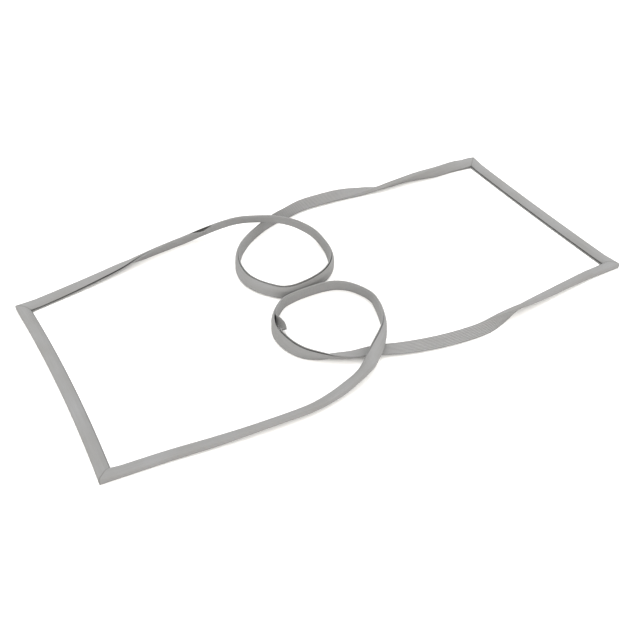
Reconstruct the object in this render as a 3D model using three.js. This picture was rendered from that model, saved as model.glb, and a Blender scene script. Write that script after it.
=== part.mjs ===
// Lid gasket of a chest freezer, lying loose with each long side thrown into one loop.
// A soft extruded profile runs round a frame and is welded at four mitred corners.
// Four flexible magnet strips lie in the profile's pocket, one to each side of the frame.
// X runs from the left short side to the right one, Y from front to rear, Z up. Millimetres.

import * as THREE from 'three';

// The frame as it lies
const shortSide = 562;            // a short side, outer edge to outer edge
const lyingSpan = 1275;           // outer edge of one short side to that of the other
const leftSkew = 1;               // each end of the left short side, off square
const rightSkew = 3;              // each end of the right short side, off square
const leftBow = 8;                // middle of the left short side, bowed into the frame
const rightBow = 3.5;             // and of the right one
const cornerRise = 1.4;           // height of the welded corner, as a multiple of the profile's

// The profile: across runs from the outer wall to the inner lip, up from the back to the face
const profileWidth = 28.5;
const profileHeight = 11;
const shoulderRadius = 6;         // outer wall into the sealing face
const heelRadius = 1.5;           // back flange into the outer wall
const landEnd = 17;               // where the flat sealing land ends and the lip slopes down
const lipDrop = 5;                // the lip's edge, below the sealing land
const lipRound = 1.2;
const faceThickness = 1.5;
const wallThickness = 1.8;
const flangeThickness = 1.6;
const flangeInset = 1;            // the back flange ends short of the lip
const innerHeel = 1.5;
const pocketWall = 0.8;
const pocketSlit = 0.6;           // the pocket stays open to the slot along this slit
const pocketInset = 4;            // outer wall's face to the pocket

// The magnet strips
const magnetWidth = 10;
const magnetThickness = 2.4;
const magnetClearance = 0.3;
const magnetEndGap = 32;          // the strips end this far from a corner, clear of the weld

// Laying and tessellation
const loopClearance = 0.6;        // between the strands where one passes over the other
const crossingFlat = 26;          // half the length of the crest where a strand passes over
const crossingRamp = 180;         // the strand comes down to the ground over this length
const stationStep = 30;           // a ring of the sweep at about this spacing
const rollStep = 8;               // and after about this much roll, in degrees
const bowShares = [0.2, 0.35, 0.5, 0.65, 0.8];   // rings along a bowed short side
const arcDivisions = 2;

const degrees = Math.PI / 180;

// The middle of the profile at each corner
const cornerX = (lyingSpan - profileWidth) / 2;
const cornerY = (shortSide - profileWidth) / 2;
const corners = {
  frontLeft: new THREE.Vector2(-cornerX - leftSkew, -cornerY),
  frontRight: new THREE.Vector2(cornerX - rightSkew, -cornerY),
  rearRight: new THREE.Vector2(cornerX + rightSkew, cornerY),
  rearLeft: new THREE.Vector2(-cornerX + leftSkew, cornerY),
};

// The long sides from left to right, between their corners: x, y and the roll in degrees.
// Roll 0 has the sealing face up. At 90 the strip stands on its outer wall, slot up.
const frontLay = [
  [-505, -280, -5], [-411, -294, -12], [-311, -306, -24], [-224, -311, -20],
  [-177, -307, -16], [-136, -300, -13], [-90, -288, -16], [-48, -265, 14],
  [-13, -239, 58], [21, -204, 86], [42, -166, 100], [57, -127, 99],
  [64, -92, 88], [56, -60, 84], [39, -31, 82], [17, -13, 84],
  [-12, -4, 86], [-44, -1, 86], [-81, -1, 88], [-119, -8, 92],
  [-146, -28, 94], [-166, -54, 90], [-179, -88, 80], [-179, -121, 74],
  [-171, -154, 82], [-155, -181, 99], [-133, -200, 120], [-106, -214, 148],
  [-73, -228, 164], [-33, -236, 178], [-2, -247, 189], [27, -259, 198],
  [90, -278, 206], [156, -291, 214], [220, -297, 230], [277, -293, 272],
  [341, -283, 317], [407, -276, 336], [487, -270, 344], [551, -266, 353],
];
const rearLay = [
  [-536, 278, 3], [-441, 292, 15], [-380, 303, 26], [-325, 310, 58],
  [-269, 318, 68], [-184, 323, 72], [-104, 304, 69], [-59, 286, 67],
  [-13, 262, 68], [23, 236, 71], [48, 212, 80], [69, 176, 90],
  [72, 127, 97], [63, 87, 104], [46, 56, 92], [17, 32, 87],
  [-17, 20, 88], [-51, 15, 88], [-82, 15, 84], [-105, 24, 80],
  [-123, 43, 75], [-142, 72, 73], [-153, 107, 76], [-150, 150, 83],
  [-135, 187, 93], [-116, 215, 99], [-84, 243, 96], [-39, 270, 94],
  [8, 290, 102], [53, 300, 112], [106, 311, 124], [193, 308, 136],
  [236, 304, 157], [291, 297, 190], [347, 284, 229], [416, 278, 249],
  [494, 266, 288], [554, 268, 314],
];
const fullTurn = 360;             // each side rolls once on its way, and its loop undoes that

// One closed outline, read round from the heel along the back flange.
// The slot under the lip and the slit of the magnet pocket keep the hollows open.
function profileOutline() {
  const ceiling = profileHeight - faceThickness;
  const floor = ceiling - magnetThickness - 2 * magnetClearance;
  const webUnderside = floor - pocketWall;
  const pocketEnd = pocketInset + magnetWidth + 2 * magnetClearance;
  const flangeEdge = profileWidth - flangeInset;
  const lipTop = profileHeight - lipDrop;
  const lipUnderside = lipTop - faceThickness;
  const outline = new THREE.Path();
  outline.moveTo(heelRadius, 0);
  outline.lineTo(flangeEdge, 0);
  outline.lineTo(flangeEdge, flangeThickness);
  outline.lineTo(wallThickness + innerHeel, flangeThickness);
  outline.lineTo(wallThickness, flangeThickness + innerHeel);
  outline.lineTo(wallThickness, webUnderside);
  outline.lineTo(pocketEnd + pocketWall, webUnderside);
  outline.lineTo(pocketEnd + pocketWall, ceiling - pocketSlit);
  outline.lineTo(pocketEnd, ceiling - pocketSlit);
  outline.lineTo(pocketEnd, floor);
  outline.lineTo(pocketInset, floor);
  outline.lineTo(pocketInset, ceiling);
  outline.lineTo(pocketEnd, ceiling);
  outline.lineTo(landEnd, ceiling);
  outline.lineTo(profileWidth - lipRound, lipUnderside);
  outline.quadraticCurveTo(profileWidth, lipUnderside, profileWidth, lipTop - lipRound / 2);
  outline.lineTo(profileWidth - lipRound, lipTop);
  outline.lineTo(landEnd, profileHeight);
  outline.lineTo(shoulderRadius, profileHeight);
  outline.absarc(shoulderRadius, profileHeight - shoulderRadius, shoulderRadius,
    Math.PI / 2, Math.PI, false);
  outline.lineTo(0, heelRadius);
  return outline.getPoints(arcDivisions);
}

// The strip in the pocket, with its clearance on every side.
function magnetOutline() {
  const left = pocketInset + magnetClearance;
  const top = profileHeight - faceThickness - magnetClearance;
  return [
    new THREE.Vector2(left, top - magnetThickness),
    new THREE.Vector2(left + magnetWidth, top - magnetThickness),
    new THREE.Vector2(left + magnetWidth, top),
    new THREE.Vector2(left, top),
  ];
}

const profile = profileOutline();
const profileMiddle = new THREE.Vector2(profileWidth / 2, profileHeight / 2);

// Height of a profile point over the profile's middle, once the profile has rolled.
function rolledHeight(point, roll) {
  const across = point.x - profileMiddle.x;
  const up = point.y - profileMiddle.y;
  return Math.sin(roll) * across + Math.cos(roll) * up;
}

// The lowest and highest points of the rolled profile.
function rolledReach(roll) {
  const heights = profile.map((point) => rolledHeight(point, roll));
  return { lowest: Math.min(...heights), highest: Math.max(...heights) };
}

// A ring of the sweep: a place, the unit direction into the frame, and the roll.
function makeStation(point, tangent, roll) {
  const inward = new THREE.Vector2(-tangent.y, tangent.x).normalize();
  return { place: new THREE.Vector2(point.x, point.y), inward, roll, raise: 0, rise: 1 };
}

// Rings along a curve, spaced by stationStep between one knot and the next.
// The first and last spans start and end at a corner and also carry the magnets' ends.
function walk(knots, curve, inwardSign) {
  const stations = [];
  for (let span = 0; span + 1 < knots.length; span++) {
    const leap = knots[span + 1].clone().sub(knots[span]);
    const length = Math.hypot(leap.x, leap.y);
    const turn = Math.abs(leap.z) / (rollStep * degrees);
    const steps = Math.max(1, Math.round(length / stationStep), Math.round(turn));
    const shares = [];
    for (let step = 0; step < steps; step++) {
      shares.push(step / steps);
    }
    if (span === 0) {
      shares.splice(0, 2, magnetEndGap / length);
    }
    if (span + 2 === knots.length) {
      shares.splice(-1, 1, 1 - magnetEndGap / length);
    }
    for (const share of shares) {
      const t = (span + share) / (knots.length - 1);
      const point = curve.getPoint(t);
      const tangent = curve.getTangent(t).multiplyScalar(inwardSign);
      stations.push(makeStation(point, tangent, point.z));
    }
  }
  return stations;
}

// One long side, from its left corner to its right one. inwardSign is 1 at the front.
function laySide(start, lay, end, inwardSign) {
  const knots = [[start.x, start.y, 0], ...lay, [end.x, end.y, fullTurn]]
    .map(([x, y, roll]) => new THREE.Vector3(x, y, roll * degrees));
  const curve = new THREE.CatmullRomCurve3(knots);
  const stations = walk(knots, curve, inwardSign);
  raiseCrossing(stations);
  return {
    stations,
    leaving: curve.getTangent(0),
    arriving: curve.getTangent(1),
  };
}

// Where the side passes over itself, its first strand is lifted on to its second.
function raiseCrossing(stations) {
  const half = Math.floor(stations.length / 2);
  let over = 0;
  let under = 0;
  let nearest = Infinity;
  for (let first = 0; first < half; first++) {
    for (let second = half; second < stations.length; second++) {
      const distance = stations[first].place.distanceTo(stations[second].place);
      if (distance < nearest) {
        nearest = distance;
        over = first;
        under = second;
      }
    }
  }
  const crossing = stations[over].place.clone().lerp(stations[under].place, 0.5);
  const heights = stations.slice(half)
    .filter((station) => station.place.distanceTo(crossing) < crossingFlat + profileWidth / 2)
    .map((station) => rolledReach(station.roll))
    .map((reach) => reach.highest - reach.lowest);
  const height = Math.max(...heights) + loopClearance;
  for (const station of stations.slice(0, half)) {
    const beyond = station.place.distanceTo(crossing) - crossingFlat;
    const share = THREE.MathUtils.clamp(beyond / crossingRamp, 0, 1);
    station.raise = height * (0.5 + 0.5 * Math.cos(Math.PI * share));
  }
}

// The ring in the mitre plane of a corner, stretched to keep the profile's width on both sides.
function mitreStation(corner, arriving, leaving) {
  const before = new THREE.Vector2(-arriving.y, arriving.x).normalize();
  const after = new THREE.Vector2(-leaving.y, leaving.x).normalize();
  const inward = before.clone().add(after).divideScalar(1 + before.dot(after));
  return { place: corner, inward, roll: 0, raise: 0, rise: cornerRise };
}

// A short side lies flat, bowed into the frame by a parabola.
function layShortSide(start, end, bow) {
  const chord = end.clone().sub(start);
  const inward = new THREE.Vector2(-chord.y, chord.x).normalize();
  const share = magnetEndGap / chord.length();
  const shares = [share, ...bowShares, 1 - share];
  const slope = (t) => chord.clone().addScaledVector(inward, 4 * bow * (1 - 2 * t));
  const stations = shares.map((t) => {
    const point = start.clone().addScaledVector(chord, t);
    point.addScaledVector(inward, 4 * bow * t * (1 - t));
    return makeStation(point, slope(t), 0);
  });
  return { stations, leaving: slope(0), arriving: slope(1) };
}

// A profile point on a ring. The rolled profile rests on the ground, or as high as it is raised.
function placePoint(station, point) {
  const across = point.x - profileMiddle.x;
  const up = point.y - profileMiddle.y;
  const reach = rolledReach(station.roll);
  const sideways = Math.cos(station.roll) * across - Math.sin(station.roll) * up;
  const height = rolledHeight(point, station.roll) - reach.lowest;
  return new THREE.Vector3(
    station.place.x + station.inward.x * sideways,
    station.place.y + station.inward.y * sideways,
    station.raise + height * station.rise,
  );
}

// Skins an outline over the rings. Each quad is split along the diagonal that starts at
// its far end across the profile, so that the magnet's faces bend with the pocket's.
function sweep(stations, outline, closed) {
  const positions = [];
  const indices = [];
  for (const station of stations) {
    for (const point of outline) {
      positions.push(...placePoint(station, point).toArray());
    }
  }
  const count = outline.length;
  const spans = closed ? stations.length : stations.length - 1;
  for (let span = 0; span < spans; span++) {
    const near = span * count;
    const far = ((span + 1) % stations.length) * count;
    for (let index = 0; index < count; index++) {
      const next = (index + 1) % count;
      const step = outline[next].clone().sub(outline[index]);
      const forward = step.x > 0 || (step.x === 0 && step.y > 0);
      if (forward) {
        indices.push(near + index, near + next, far + index);
        indices.push(near + next, far + next, far + index);
      } else {
        indices.push(near + index, near + next, far + next);
        indices.push(near + index, far + next, far + index);
      }
    }
  }
  if (!closed) {
    const last = (stations.length - 1) * count;
    for (const [a, b, c] of THREE.ShapeUtils.triangulateShape(outline, [])) {
      indices.push(c, b, a);
      indices.push(last + a, last + b, last + c);
    }
  }
  const geometry = new THREE.BufferGeometry();
  geometry.setAttribute('position', new THREE.Float32BufferAttribute(positions, 3));
  geometry.setIndex(indices);
  geometry.computeVertexNormals();
  return geometry;
}

// Materials
const profileFinish = new THREE.MeshStandardMaterial({
  color: 0xa9a9ab,
  roughness: 0.55,
  metalness: 0,
});
const magnetFinish = new THREE.MeshStandardMaterial({
  color: 0x3a3532,
  roughness: 0.8,
  metalness: 0,
});

// The four sides, counter-clockwise seen from above
const front = laySide(corners.frontLeft, frontLay, corners.frontRight, 1);
const right = layShortSide(corners.frontRight, corners.rearRight, rightBow);
const rear = laySide(corners.rearLeft, rearLay, corners.rearRight, -1);
const left = layShortSide(corners.rearLeft, corners.frontLeft, leftBow);
const rearStations = rear.stations.slice().reverse();
const rearLeaving = rear.arriving.clone().negate();
const rearArriving = rear.leaving.clone().negate();

const ring = [
  mitreStation(corners.frontLeft, left.arriving, front.leaving),
  ...front.stations,
  mitreStation(corners.frontRight, front.arriving, right.leaving),
  ...right.stations,
  mitreStation(corners.rearRight, right.arriving, rearLeaving),
  ...rearStations,
  mitreStation(corners.rearLeft, rearArriving, left.leaving),
  ...left.stations,
];

const gasket = new THREE.Group();

function addPiece(name, geometry, material) {
  const mesh = new THREE.Mesh(geometry, material);
  mesh.name = name;
  gasket.add(mesh);
  return mesh;
}

const skin = addPiece('gasket_profile', sweep(ring, profile, true), profileFinish);
addPiece('magnet_strip_front', sweep(front.stations, magnetOutline(), false), magnetFinish);
addPiece('magnet_strip_right', sweep(right.stations, magnetOutline(), false), magnetFinish);
addPiece('magnet_strip_rear', sweep(rearStations, magnetOutline(), false), magnetFinish);
addPiece('magnet_strip_left', sweep(left.stations, magnetOutline(), false), magnetFinish);

// The origin is on the ground, under the middle of the lying gasket.
skin.geometry.computeBoundingBox();
const middle = skin.geometry.boundingBox.getCenter(new THREE.Vector3());
gasket.position.set(-middle.x, -middle.y, 0);

export default gasket;
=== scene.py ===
import math

import bpy
import numpy as np
from mathutils import Matrix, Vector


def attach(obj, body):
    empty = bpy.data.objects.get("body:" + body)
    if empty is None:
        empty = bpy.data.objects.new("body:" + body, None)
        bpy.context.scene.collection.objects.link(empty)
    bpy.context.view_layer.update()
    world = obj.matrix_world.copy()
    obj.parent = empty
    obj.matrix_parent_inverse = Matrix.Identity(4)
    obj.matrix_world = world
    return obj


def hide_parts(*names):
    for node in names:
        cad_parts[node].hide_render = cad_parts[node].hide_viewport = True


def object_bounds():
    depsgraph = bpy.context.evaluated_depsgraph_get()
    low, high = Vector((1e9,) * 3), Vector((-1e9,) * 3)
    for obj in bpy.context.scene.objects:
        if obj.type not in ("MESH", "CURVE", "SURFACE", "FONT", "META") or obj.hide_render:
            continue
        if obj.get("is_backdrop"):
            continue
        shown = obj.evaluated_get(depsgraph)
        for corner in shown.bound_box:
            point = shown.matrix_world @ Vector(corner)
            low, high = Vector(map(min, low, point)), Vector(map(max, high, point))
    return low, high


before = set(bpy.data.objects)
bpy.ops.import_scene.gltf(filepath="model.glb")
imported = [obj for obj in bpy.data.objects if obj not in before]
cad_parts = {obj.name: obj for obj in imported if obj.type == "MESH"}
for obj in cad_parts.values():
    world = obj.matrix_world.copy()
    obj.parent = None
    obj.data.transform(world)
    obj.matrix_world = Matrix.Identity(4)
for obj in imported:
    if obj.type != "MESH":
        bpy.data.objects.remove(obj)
cad_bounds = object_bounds()

# Millimetres and degrees from here to the meshes. The frame as it lies.
SHORT_SIDE = 562.0
LYING_SPAN = 1275.0
LEFT_SKEW = 1.0
RIGHT_SKEW = 3.0
LEFT_BOW = 8.0
RIGHT_BOW = 3.5
CORNER_RISE = 1.4

# The profile, with the same sizes as the CAD.
WIDTH = 28.5
HEIGHT = 11.0
LAND_END = 17.0
LIP_DROP = 5.0
FACE = 1.5
WALL = 1.8
FLANGE = 1.6
POCKET_INSET = 4.0
POCKET_WALL = 0.8
POCKET_SLIT = 0.6
MAGNET_WIDTH = 10.0
MAGNET_THICKNESS = 2.4
MAGNET_CLEARANCE = 0.3
END_GAP = 32.0                    # from a corner to the first ring clear of the weld

LOOP_CLEARANCE = 0.6
CROSSING_FLAT = 26.0
CROSSING_RAMP = 180.0
RING_STEP = 6.0                   # between one ring of the sweep and the next
CORNER_RINGS = 8                  # from a weld to END_GAP, closest at the weld
FLANGE_HINGE = 6.0                # across the profile, where a loose flange starts to bend
FLANGE_KNEES = (9.0, 18.0)        # more points on the flange's back, so that it can bend
BEND_LENGTH = 9.0                 # past the hinge, the bend builds up over this length
EDGE_BEAD = 2.3                   # thickness of the flange's free edge
SLOT_CLOSED = 0.4                 # from the lip's edge to the bead where the slot is shut
SLOT_OPEN = 2.0                   # and where it gapes fully
LIP_INSET = 2.2                   # from the flange's free edge back to the lip's
LIP_TIP = 2.1                     # width of the lip's tip that thickens down to the slot
TIP_BAND = 0.5                    # points this near the height of the lip's underside go down

# The long sides from left to right, between their corners: x, y and the roll.
FRONT_LAY = [
    (-505, -280, -5), (-411, -294, -12), (-311, -306, -24), (-224, -311, -20),
    (-177, -307, -16), (-136, -300, -13), (-90, -288, -16), (-48, -265, 14),
    (-13, -239, 58), (21, -204, 86), (42, -166, 100), (57, -127, 99),
    (64, -92, 88), (56, -60, 84), (39, -31, 82), (17, -13, 84),
    (-12, -4, 86), (-44, -1, 86), (-81, -1, 88), (-119, -8, 92),
    (-146, -28, 94), (-166, -54, 90), (-179, -88, 80), (-179, -121, 74),
    (-171, -154, 82), (-155, -181, 99), (-133, -200, 120), (-106, -214, 148),
    (-73, -228, 164), (-33, -236, 178), (-2, -247, 189), (27, -259, 198),
    (90, -278, 206), (156, -291, 214), (220, -297, 230), (277, -293, 272),
    (341, -283, 317), (407, -276, 336), (487, -270, 344), (551, -266, 353),
]
REAR_LAY = [
    (-536, 278, 3), (-441, 292, 15), (-380, 303, 26), (-325, 310, 58),
    (-269, 318, 68), (-184, 323, 72), (-104, 304, 69), (-59, 286, 67),
    (-13, 262, 68), (23, 236, 71), (48, 212, 80), (69, 176, 90),
    (72, 127, 97), (63, 87, 104), (46, 56, 92), (17, 32, 87),
    (-17, 20, 88), (-51, 15, 88), (-82, 15, 84), (-105, 24, 80),
    (-123, 43, 75), (-142, 72, 73), (-153, 107, 76), (-150, 150, 83),
    (-135, 187, 93), (-116, 215, 99), (-84, 243, 96), (-39, 270, 94),
    (8, 290, 102), (53, 300, 112), (106, 311, 124), (193, 308, 136),
    (236, 304, 157), (291, 297, 190), (347, 284, 229), (416, 278, 249),
    (494, 266, 288), (554, 268, 314),
]
# Where the loose back flange stands off: the knot at the middle, half the reach, the angle.
FRONT_BENDS = [(22.6, 0.8, 84)]
REAR_BENDS = [(6.2, 0.4, 19)]
# Where the slot gapes: the knot at the middle, half the reach, the share of SLOT_OPEN.
FRONT_GAPES = [(24.5, 5.0, 0.9)]
REAR_GAPES = [(2.0, 3.6, 1.0), (6.15, 0.6, 1.0), (17.5, 6.0, 0.8)]

# Looks
SHARP_ANGLE = 38.0                # degrees, an edge sharper than this stays sharp
RIB_PITCH = 3.2                   # millimetres from one rib on the back to the next
RIB_HEIGHT = 0.0009               # metres, of the ribs' bump
BACK_PAINTED_LIGHT = 0.45              # share of a paler grey painted on the back as painted light against its shade, between rib and groove
RIB_PAINTED_SHADING = 0.35               # added to it as painted highlight on a rib's crest, taken off as painted shade in a groove

# Camera. The eye is in millimetres from the middle of the four corners, on the ground.
PITCH = math.radians(41.1)
TILT = math.radians(0.15)
HEADING = (0.5057, 0.8627)
EYE = (-781.0, -1301.4, 1227.0)
SENSOR = 36
LENS = 47.81

# A ring of the sweep is one row: place, inward direction, roll, raise, rise, bend of the
# flange, weld, and how far the slot is open.
PLACE = slice(0, 2)
INWARD = slice(2, 4)
ROLL, RAISE, RISE, BEND, WELD, GAPE = 4, 5, 6, 7, 8, 9
COLUMNS = 10


def unit(vectors):
    """Each row divided by its length."""
    return vectors / np.linalg.norm(vectors, axis=-1, keepdims=True)


def leftward(directions):
    """Each plan direction turned a quarter turn to the left: (x, y) to (-y, x)."""
    return np.stack([-directions[..., 1], directions[..., 0]], axis=-1)


def through_knots(knots, t):
    """Points at t, counted in knots, on a centripetal Catmull-Rom curve: a cubic from each
    knot to the next, whose end slopes come from the neighbours, weighted by root distance."""
    padded = np.vstack([2 * knots[0] - knots[1], knots, 2 * knots[-1] - knots[-2]])
    span = np.clip(np.floor(t).astype(int), 0, len(knots) - 2)
    w = (t - span)[:, None]
    a, b, c, d = (padded[span + shift] for shift in range(4))
    ab, bc, cd = (
        np.sqrt(np.linalg.norm(q - p, axis=1, keepdims=True))
        for p, q in ((a, b), (b, c), (c, d))
    )
    leaving = ((b - a) / ab - (c - a) / (ab + bc) + (c - b) / bc) * bc
    arriving = ((c - b) / bc - (d - b) / (bc + cd) + (d - c) / cd) * bc
    square = 3 * (c - b) - 2 * leaving - arriving
    cube = 2 * (b - c) + leaving + arriving
    return b + w * (leaving + w * (square + w * cube))


def rounded(corners, radii, steps):
    """A closed outline whose corners are quadratic arcs that start a radius from the corner."""
    before = unit(np.roll(corners, 1, axis=0) - corners)
    after = unit(np.roll(corners, -1, axis=0) - corners)
    start = corners + before * radii[:, None]
    end = corners + after * radii[:, None]
    w = np.linspace(0, 1, steps)[None, :, None]
    arcs = (1 - w) ** 2 * start[:, None] + 2 * w * (1 - w) * corners[:, None] + w**2 * end[:, None]
    return arcs.reshape(-1, 2)


def profile_outline():
    """The section as across and up, counter-clockwise from the heel: back flange with its
    bead, slot, open magnet pocket, lip, sealing land and outer wall."""
    ceiling = HEIGHT - FACE
    floor = ceiling - MAGNET_THICKNESS - 2 * MAGNET_CLEARANCE
    web = floor - POCKET_WALL
    pocket_end = POCKET_INSET + MAGNET_WIDTH + 2 * MAGNET_CLEARANCE
    lip_top = HEIGHT - LIP_DROP
    lip_end = WIDTH - LIP_INSET
    corners = [
        (0, 0, 1.4), (FLANGE_KNEES[0], 0, 0.1), (FLANGE_KNEES[1], 0, 0.1), (WIDTH, 0, 0.9),
        (WIDTH, EDGE_BEAD, 0.9), (WIDTH - 3, FLANGE, 1), (WALL, FLANGE, 1.2), (WALL, web, 0.4),
        (pocket_end + POCKET_WALL, web, 0.3),
        (pocket_end + POCKET_WALL, ceiling - POCKET_SLIT, 0.25),
        (pocket_end, ceiling - POCKET_SLIT, 0.25), (pocket_end, floor, 0.05),
        (POCKET_INSET, floor, 0.05), (POCKET_INSET, ceiling, 0.05), (LAND_END - 1, ceiling, 1),
        (lip_end - 1, lip_top - FACE, 0.9), (lip_end, lip_top - 0.8, 0.6),
        (lip_end - 1, lip_top, 0.9),
        (LAND_END, HEIGHT, 3.5), (0, HEIGHT, 4.2),
    ]
    corners = np.array(corners, float)
    return rounded(corners[:, :2], corners[:, 2], 5)


def magnet_outline():
    """The strip in the pocket, with its clearance on every side."""
    left = POCKET_INSET + MAGNET_CLEARANCE
    top = HEIGHT - FACE - MAGNET_CLEARANCE
    corners = np.array([
        (left, top - MAGNET_THICKNESS),
        (left + MAGNET_WIDTH, top - MAGNET_THICKNESS),
        (left + MAGNET_WIDTH, top),
        (left, top),
    ])
    return rounded(corners, np.full(4, 0.3), 3)


OUTLINE = profile_outline()
MIDDLE = np.array([WIDTH, HEIGHT]) / 2


def rolled_reach(roll):
    """The lowest and highest points of the rolled profile: sin(roll) * across + cos(roll) * up."""
    across, up = (OUTLINE - MIDDLE).T
    heights = np.sin(roll)[:, None] * across + np.cos(roll)[:, None] * up
    return heights.min(axis=1), heights.max(axis=1)


def swell(t, bumps):
    """The sum of bumps, each height * cos(pi / 2 * distance / reach) squared in its reach."""
    total = np.zeros_like(t)
    for middle, reach, height in bumps:
        share = np.clip(np.abs(t - middle) / reach, 0, 1)
        total += height * np.cos(np.pi / 2 * share) ** 2
    return total


def lay_long_side(start, lay, end, inward_sign, bends, gapes):
    """Rings along a long side, evenly spaced, from END_GAP after its left corner to END_GAP
    before its right one, and the plan directions in which the side leaves and arrives."""
    knots = np.array([(*start, 0), *lay, (*end, 360)], float)
    knots[:, 2] = np.radians(knots[:, 2])
    dense = np.linspace(0, len(knots) - 1, 40 * len(knots))
    steps = np.linalg.norm(np.diff(through_knots(knots, dense)[:, :2], axis=0), axis=1)
    travelled = np.concatenate([[0], np.cumsum(steps)])
    count = int((travelled[-1] - 2 * END_GAP) / RING_STEP)
    t = np.interp(np.linspace(END_GAP, travelled[-1] - END_GAP, count), travelled, dense)
    points = through_knots(knots, t)
    hair = 1e-4
    tangents = (through_knots(knots, t + hair) - through_knots(knots, t - hair))[:, :2]
    ends = through_knots(knots, np.array([0, hair, len(knots) - 1 - hair, len(knots) - 1]))[:, :2]
    rings = np.zeros((count, COLUMNS))
    rings[:, PLACE] = points[:, :2]
    rings[:, INWARD] = leftward(unit(tangents)) * inward_sign
    rings[:, ROLL] = points[:, 2]
    rings[:, RISE] = 1
    rings[:, BEND] = np.radians(swell(t, bends))
    rings[:, GAPE] = swell(t, gapes)
    rings[:, RAISE] = crossing_raise(rings)
    return rings, ends[1] - ends[0], ends[3] - ends[2]


def crossing_raise(rings):
    """Lift of the first strand over the second: the second's height, within CROSSING_FLAT of
    the crossing, and half a cosine down to the ground over CROSSING_RAMP."""
    half = len(rings) // 2
    first, second = rings[:half], rings[half:]
    gaps = np.linalg.norm(first[:, None, PLACE] - second[None, :, PLACE], axis=2)
    over, under = np.unravel_index(gaps.argmin(), gaps.shape)
    crossing = (first[over, PLACE] + second[under, PLACE]) / 2
    near = np.linalg.norm(second[:, PLACE] - crossing, axis=1) < CROSSING_FLAT + WIDTH / 2
    lowest, highest = rolled_reach(second[near, ROLL])
    height = (highest - lowest).max() + LOOP_CLEARANCE
    beyond = np.linalg.norm(first[:, PLACE] - crossing, axis=1) - CROSSING_FLAT
    share = np.clip(beyond / CROSSING_RAMP, 0, 1)
    lift = np.zeros(len(rings))
    lift[:half] = height * (0.5 + 0.5 * np.cos(np.pi * share))
    return lift


def lay_short_side(start, end, bow, gape):
    """Rings along a short side, flat on the ground, bowed inward by 4 * bow * t * (1 - t)."""
    chord = end - start
    inward = leftward(unit(chord))
    length = np.linalg.norm(chord)
    t = np.linspace(END_GAP / length, 1 - END_GAP / length, int(length / RING_STEP))[:, None]
    rings = np.zeros((len(t), COLUMNS))
    rings[:, PLACE] = start + chord * t + inward * 4 * bow * t * (1 - t)
    rings[:, INWARD] = leftward(unit(chord + inward * 4 * bow * (1 - 2 * t)))
    rings[:, RISE] = 1
    rings[:, GAPE] = gape
    return rings, chord + inward * 4 * bow, chord - inward * 4 * bow


def mitre(corner, arriving, leaving, roll):
    """The ring in a corner's mitre plane, stretched to keep the width of both sides."""
    before, after = leftward(unit(arriving)), leftward(unit(leaving))
    ring = np.zeros(COLUMNS)
    ring[PLACE] = corner
    ring[INWARD] = (before + after) / (1 + before @ after)
    ring[ROLL] = roll
    ring[RISE] = CORNER_RISE
    return ring


def ruled(corner_ring, side_ring):
    """Rings from a weld out to the side, spaced as the square of their number."""
    share = (np.arange(CORNER_RINGS) / CORNER_RINGS)[:, None] ** 2
    rings = corner_ring + (side_ring - corner_ring) * share
    rings[:2, WELD] = (1, 0.6)
    return rings


def leg(first_weld, rings, second_weld):
    """A side with both of its welded ends. The second weld's own ring starts the next side."""
    opening = ruled(first_weld, rings[0])
    closing = ruled(second_weld, rings[-1])[:0:-1]
    return np.vstack([opening, rings, closing])


def place_outline(rings, outline):
    """Points of the outline on each ring, in millimetres. The lip's underside thickens down
    to the slot that is left open, and the flange, past its hinge, turns away from the body by
    the ring's bend. Then the section rolls and rests at its height."""
    across = np.broadcast_to(outline[:, 0], (len(rings), len(outline))).copy()
    up = np.broadcast_to(outline[:, 1], across.shape).copy()
    lip_edge = HEIGHT - LIP_DROP - FACE
    in_tip = outline[:, 0] > WIDTH - LIP_INSET - LIP_TIP
    hook = in_tip & (np.abs(outline[:, 1] - lip_edge) < TIP_BAND)
    slot = SLOT_CLOSED + (SLOT_OPEN - SLOT_CLOSED) * np.clip(rings[:, GAPE, None], 0, 1)
    up[:, hook] -= lip_edge - EDGE_BEAD - slot
    loose = (outline[:, 1] <= EDGE_BEAD + 0.01) & (outline[:, 0] > FLANGE_HINGE)
    arm = outline[loose, 0] - FLANGE_HINGE
    turn = rings[:, BEND, None] * np.clip(arm / BEND_LENGTH, 0, 1)
    lever = up[:, loose].copy()
    across[:, loose] = FLANGE_HINGE + arm * np.cos(turn) + lever * np.sin(turn)
    up[:, loose] = -arm * np.sin(turn) + lever * np.cos(turn)
    across -= MIDDLE[0]
    up -= MIDDLE[1]
    sine, cosine = np.sin(rings[:, ROLL, None]), np.cos(rings[:, ROLL, None])
    sideways = cosine * across - sine * up
    lowest = rolled_reach(rings[:, ROLL])[0][:, None]
    height = sine * across + cosine * up - lowest
    plan = rings[:, None, PLACE] + rings[:, None, INWARD] * sideways[..., None]
    z = rings[:, RAISE, None] + height * rings[:, RISE, None]
    return np.concatenate([plan, z[..., None]], axis=2)


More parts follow.
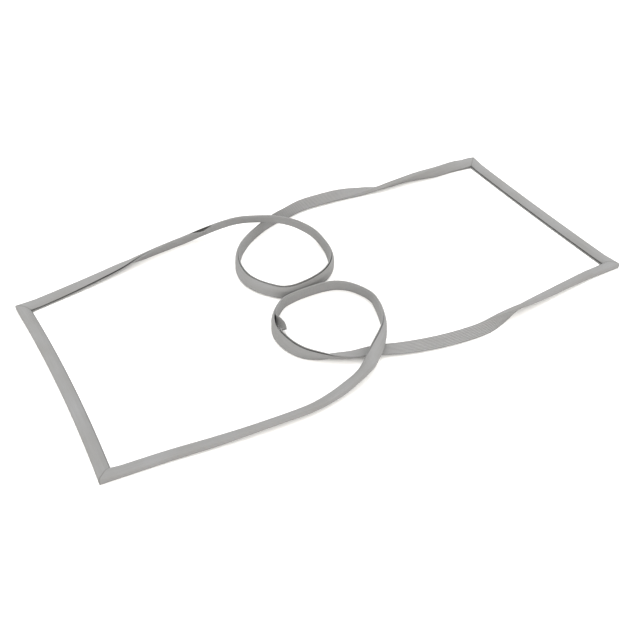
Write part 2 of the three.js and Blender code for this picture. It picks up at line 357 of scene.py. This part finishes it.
def skin(name, points, closed, outline, rings):
    """A smooth mesh over rows of points, closed round each row, and either closed along the
    rows or capped at both ends. Its UV runs in millimetres round the section and along."""
    rows, count = points.shape[:2]
    index = np.arange(rows * count).reshape(rows, count)
    nearby = index if closed else index[:-1]
    beyond = np.roll(index, -1, axis=0) if closed else index[1:]
    quads = np.stack(
        [nearby, np.roll(nearby, -1, axis=1), np.roll(beyond, -1, axis=1), beyond], axis=-1
    )
    faces = quads.reshape(-1, 4).tolist()
    if not closed:
        faces += [index[0, ::-1].tolist(), index[-1].tolist()]
    mesh = bpy.data.meshes.new(name)
    mesh.from_pydata((points.reshape(-1, 3) / 1000).tolist(), [], faces)
    mesh.polygons.foreach_set("use_smooth", np.ones(len(faces), bool))
    mesh.set_sharp_from_angle(angle=math.radians(SHARP_ANGLE))

    steps = np.linalg.norm(np.diff(rings[:, PLACE], axis=0), axis=1)
    along = np.concatenate([[0], np.cumsum(steps)])
    girth = np.concatenate([[0], np.cumsum(np.linalg.norm(np.diff(outline, axis=0), axis=1))])
    uv = np.stack(np.broadcast_arrays(girth[None, :], along[:, None]), axis=-1).reshape(-1, 2)
    corners = np.empty(len(mesh.loops), np.int32)
    mesh.loops.foreach_get("vertex_index", corners)
    layer = mesh.uv_layers.new(name="UVMap")
    layer.data.foreach_set("uv", uv[corners].astype(np.float32).ravel())
    for label, values in (
        ("weld", np.broadcast_to(rings[:, WELD, None], (rows, count))),
        # back marks the flange's back, where the material paints a paler tone as painted light, with
        # painted highlight and shade on the ribs
        ("back", np.broadcast_to((outline[:, 1] < 0.02)[None, :], (rows, count))),
    ):
        attribute = mesh.attributes.new(label, "FLOAT", "POINT")
        attribute.data.foreach_set("value", values.astype(np.float32).ravel())
    piece = bpy.data.objects.new(name, mesh)
    bpy.context.scene.collection.objects.link(piece)
    return piece


# The four sides, counter-clockwise seen from above.
corner_x = (LYING_SPAN - WIDTH) / 2
corner_y = (SHORT_SIDE - WIDTH) / 2
front_left = np.array([-corner_x - LEFT_SKEW, -corner_y])
front_right = np.array([corner_x - RIGHT_SKEW, -corner_y])
rear_right = np.array([corner_x + RIGHT_SKEW, corner_y])
rear_left = np.array([-corner_x + LEFT_SKEW, corner_y])

front, front_leaving, front_arriving = lay_long_side(
    front_left, FRONT_LAY, front_right, 1, FRONT_BENDS, FRONT_GAPES
)
rear, rear_outset, rear_end = lay_long_side(
    rear_left, REAR_LAY, rear_right, -1, REAR_BENDS, REAR_GAPES
)
rear = rear[::-1]
rear_leaving, rear_arriving = -rear_end, -rear_outset
right, right_leaving, right_arriving = lay_short_side(front_right, rear_right, RIGHT_BOW, 1)
left, left_leaving, left_arriving = lay_short_side(rear_left, front_left, LEFT_BOW, 0.8)

FULL = math.radians(360)
ring_rows = np.vstack([
    leg(mitre(front_left, left_arriving, front_leaving, 0), front,
        mitre(front_right, front_arriving, right_leaving, FULL)),
    leg(mitre(front_right, front_arriving, right_leaving, 0), right,
        mitre(rear_right, right_arriving, rear_leaving, 0)),
    leg(mitre(rear_right, right_arriving, rear_leaving, FULL), rear,
        mitre(rear_left, rear_arriving, left_leaving, 0)),
    leg(mitre(rear_left, rear_arriving, left_leaving, 0), left,
        mitre(front_left, left_arriving, front_leaving, 0)),
])
profile_points = place_outline(ring_rows, OUTLINE)
lowest = profile_points.reshape(-1, 3).min(axis=0)
highest = profile_points.reshape(-1, 3).max(axis=0)
shift = np.array([-(lowest[0] + highest[0]) / 2, -(lowest[1] + highest[1]) / 2, 0])


# Materials
def node(tree, kind, **values):
    """A shader node with its properties or its inputs' values set by name."""
    made = tree.nodes.new(kind)
    for key, value in values.items():
        if hasattr(made, key):
            setattr(made, key, value)
        else:
            made.inputs[key.replace("_", " ")].default_value = value
    return made


def ramp(tree, source, low, high, dark, light):
    """A colour ramp from dark at low to light at high."""
    made = tree.nodes.new("ShaderNodeValToRGB")
    made.color_ramp.elements[0].position = low
    made.color_ramp.elements[0].color = (*dark, 1)
    made.color_ramp.elements[1].position = high
    made.color_ramp.elements[1].color = (*light, 1)
    tree.links.new(source, made.inputs["Fac"])
    return made


def soft_vinyl():
    """Satin grey vinyl: slow mottling from two noises, fine grain, drawn lines along the
    extrusion from the UV, ribs on the back, which is painted paler as painted light with a painted
    highlight on each rib's crest and painted shade in each groove, and a darker line at the welds."""
    material = bpy.data.materials.new("soft_vinyl")
    material.use_nodes = True
    tree = material.node_tree
    link = tree.links.new
    shader = tree.nodes["Principled BSDF"]
    place = tree.nodes.new("ShaderNodeTexCoord")
    cloud = node(tree, "ShaderNodeTexNoise", Scale=14.0, Detail=4.0, Roughness=0.55)
    link(place.outputs["Object"], cloud.inputs["Vector"])
    body = ramp(tree, cloud.outputs["Fac"], 0.32, 0.7, (0.188, 0.188, 0.187), (0.209, 0.211, 0.216))

    stretch = node(tree, "ShaderNodeMapping")
    stretch.inputs["Scale"].default_value = (0.9, 0.012, 1)
    link(place.outputs["UV"], stretch.inputs["Vector"])
    drawn = node(tree, "ShaderNodeTexNoise", Scale=1.0, Detail=3.0, Roughness=0.6)
    link(stretch.outputs["Vector"], drawn.inputs["Vector"])
    streak = ramp(tree, drawn.outputs["Fac"], 0.35, 0.65, (0.93, 0.93, 0.925), (1, 1, 1))
    streaked = node(tree, "ShaderNodeMix", data_type="RGBA", blend_type="MULTIPLY")
    streaked.inputs[0].default_value = 1
    link(body.outputs["Color"], streaked.inputs[6])
    link(streak.outputs["Color"], streaked.inputs[7])

    split = node(tree, "ShaderNodeSeparateXYZ")
    link(place.outputs["UV"], split.inputs["Vector"])
    phase = node(tree, "ShaderNodeMath", operation="MULTIPLY")
    phase.inputs[1].default_value = 2 * math.pi / RIB_PITCH
    link(split.outputs["X"], phase.inputs[0])
    wave = node(tree, "ShaderNodeMath", operation="SINE")
    link(phase.outputs[0], wave.inputs[0])
    back = node(tree, "ShaderNodeAttribute", attribute_name="back")
    ribs = node(tree, "ShaderNodeMath", operation="MULTIPLY")
    link(wave.outputs[0], ribs.inputs[0])
    link(back.outputs["Fac"], ribs.inputs[1])
    # Painted light on the back: a share of paler grey lifts the shade it lies in, with a painted
    # highlight on each rib's crest and painted shade in each groove.
    painted_share = node(tree, "ShaderNodeMath", operation="MULTIPLY_ADD")
    painted_share.inputs[1].default_value = RIB_PAINTED_SHADING
    painted_share.inputs[2].default_value = BACK_PAINTED_LIGHT
    link(ribs.outputs[0], painted_share.inputs[0])
    shade = node(tree, "ShaderNodeMath", operation="MULTIPLY")
    link(painted_share.outputs[0], shade.inputs[0])
    link(back.outputs["Fac"], shade.inputs[1])
    # The paler grey painted on the back as painted light.
    painted_back_light = node(tree, "ShaderNodeMix", data_type="RGBA", blend_type="MIX")
    painted_back_light.inputs[7].default_value = (0.36, 0.36, 0.365, 1)
    link(shade.outputs[0], painted_back_light.inputs[0])
    link(streaked.outputs[2], painted_back_light.inputs[6])

    weld = node(tree, "ShaderNodeAttribute", attribute_name="weld")
    seam = node(tree, "ShaderNodeMix", data_type="RGBA", blend_type="MIX")
    seam.inputs[7].default_value = (0.11, 0.108, 0.105, 1)
    link(weld.outputs["Fac"], seam.inputs[0])
    link(painted_back_light.outputs[2], seam.inputs[6])
    link(seam.outputs[2], shader.inputs["Base Color"])

    rib_bump = node(tree, "ShaderNodeBump", Strength=1.0, Distance=RIB_HEIGHT)
    link(ribs.outputs[0], rib_bump.inputs["Height"])
    grain = node(tree, "ShaderNodeTexNoise", Scale=900.0, Detail=2.0)
    link(place.outputs["Object"], grain.inputs["Vector"])
    grain_bump = node(tree, "ShaderNodeBump", Strength=0.25, Distance=0.0002)
    link(grain.outputs["Fac"], grain_bump.inputs["Height"])
    link(rib_bump.outputs["Normal"], grain_bump.inputs["Normal"])
    link(grain_bump.outputs["Normal"], shader.inputs["Normal"])

    sheen = ramp(tree, cloud.outputs["Fac"], 0.3, 0.75, (0.46, 0.46, 0.46), (0.58, 0.58, 0.58))
    link(sheen.outputs["Color"], shader.inputs["Roughness"])
    shader.inputs["Specular IOR Level"].default_value = 0.22
    return material


def bonded_ferrite():
    """Matt brown-black magnet strip with a fine powder grain."""
    material = bpy.data.materials.new("bonded_ferrite")
    material.use_nodes = True
    tree = material.node_tree
    link = tree.links.new
    shader = tree.nodes["Principled BSDF"]
    place = tree.nodes.new("ShaderNodeTexCoord")
    powder = node(tree, "ShaderNodeTexNoise", Scale=420.0, Detail=6.0, Roughness=0.7)
    link(place.outputs["Object"], powder.inputs["Vector"])
    colour = ramp(tree, powder.outputs["Fac"], 0.3, 0.7, (0.012, 0.010, 0.009), (0.03, 0.027, 0.024))
    link(colour.outputs["Color"], shader.inputs["Base Color"])
    bump = node(tree, "ShaderNodeBump", Strength=0.4, Distance=0.0002)
    link(powder.outputs["Fac"], bump.inputs["Height"])
    link(bump.outputs["Normal"], shader.inputs["Normal"])
    shader.inputs["Roughness"].default_value = 0.82
    return material


def paper_floor():
    """A matt white studio floor with a barely visible mottling, which throws less light
    back than the camera sees."""
    material = bpy.data.materials.new("paper_floor")
    material.use_nodes = True
    tree = material.node_tree
    shader = tree.nodes["Principled BSDF"]
    place = tree.nodes.new("ShaderNodeTexCoord")
    cloud = node(tree, "ShaderNodeTexNoise", Scale=3.0, Detail=2.0)
    tree.links.new(place.outputs["Object"], cloud.inputs["Vector"])
    colour = ramp(tree, cloud.outputs["Fac"], 0.3, 0.7, (0.93, 0.93, 0.93), (0.95, 0.95, 0.95))
    ray = tree.nodes.new("ShaderNodeLightPath")
    seen = node(tree, "ShaderNodeMix", data_type="RGBA", blend_type="MIX")
    seen.inputs[6].default_value = (0.78, 0.78, 0.78, 1)
    tree.links.new(ray.outputs["Is Camera Ray"], seen.inputs[0])
    tree.links.new(colour.outputs["Color"], seen.inputs[7])
    tree.links.new(seen.outputs[2], shader.inputs["Base Color"])
    shader.inputs["Roughness"].default_value = 1
    shader.inputs["Specular IOR Level"].default_value = 0
    return material


# Pieces
gasket = skin("gasket_skin", profile_points + shift, True, OUTLINE, ring_rows)
gasket.data.materials.append(soft_vinyl())
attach(gasket, "root")
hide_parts("gasket_profile")

ferrite = bonded_ferrite()
strip = magnet_outline()
for side, rings in (("front", front), ("right", right), ("rear", rear), ("left", left)):
    points = place_outline(rings, strip) + shift
    magnet = skin("magnet_" + side, points, False, strip, rings)
    magnet.data.materials.append(ferrite)
    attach(magnet, "root")
    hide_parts("magnet_strip_" + side)

# Floor, light and camera
bpy.ops.mesh.primitive_plane_add(size=14, location=(0, 0, -0.0006))
floor = bpy.context.object
floor.name = "floor"
floor.data.materials.append(paper_floor())
floor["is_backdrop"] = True

world = bpy.data.worlds.new("studio")
world.use_nodes = True
world.node_tree.nodes["Background"].inputs["Color"].default_value = (1, 0.98, 0.945, 1)
world.node_tree.nodes["Background"].inputs["Strength"].default_value = 1.6
bpy.context.scene.world = world


def sun(name, strength, softness, colour, turn):
    """A sun lamp. Its softness, which is its apparent size, and its turn are in degrees."""
    lamp = bpy.data.objects.new(name, bpy.data.lights.new(name, "SUN"))
    lamp.data.energy = strength
    lamp.data.angle = math.radians(softness)
    lamp.data.color = colour
    lamp.rotation_euler = [math.radians(angle) for angle in turn]
    bpy.context.scene.collection.objects.link(lamp)


sun("key_light", 0.9, 50, (0.88, 0.94, 1), (-24, 16, 0))
sun("fill_light", 1.4, 60, (1, 0.97, 0.92), (66, 0, -22))

heading = np.array(HEADING)
forward = np.array([*(heading * math.cos(PITCH)), -math.sin(PITCH)])
level = np.array([heading[1], -heading[0], 0])
upright = np.cross(level, forward)
right_axis = math.cos(TILT) * level + math.sin(TILT) * upright
up_axis = -math.sin(TILT) * level + math.cos(TILT) * upright
camera = bpy.data.objects.new("camera", bpy.data.cameras.new("camera"))
camera.data.sensor_width = SENSOR
camera.data.lens = LENS
camera.data.clip_end = 50
eye = (np.array(EYE) + shift) / 1000
camera.matrix_world = Matrix((
    (right_axis[0], up_axis[0], -forward[0], eye[0]),
    (right_axis[1], up_axis[1], -forward[1], eye[1]),
    (right_axis[2], up_axis[2], -forward[2], eye[2]),
    (0, 0, 0, 1),
))
bpy.context.scene.collection.objects.link(camera)
bpy.context.scene.camera = camera
bpy.context.scene.view_settings.view_transform = "Standard"


def plain(value):
    """Vectors and arrays as plain lists of numbers."""
    if hasattr(value, "__len__") and not isinstance(value, (str, dict)):
        return [plain(item) for item in value]
    return {key: plain(item) for key, item in value.items()} if isinstance(value, dict) else value


{"cad": plain(cad_bounds), "scene": plain(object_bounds())}
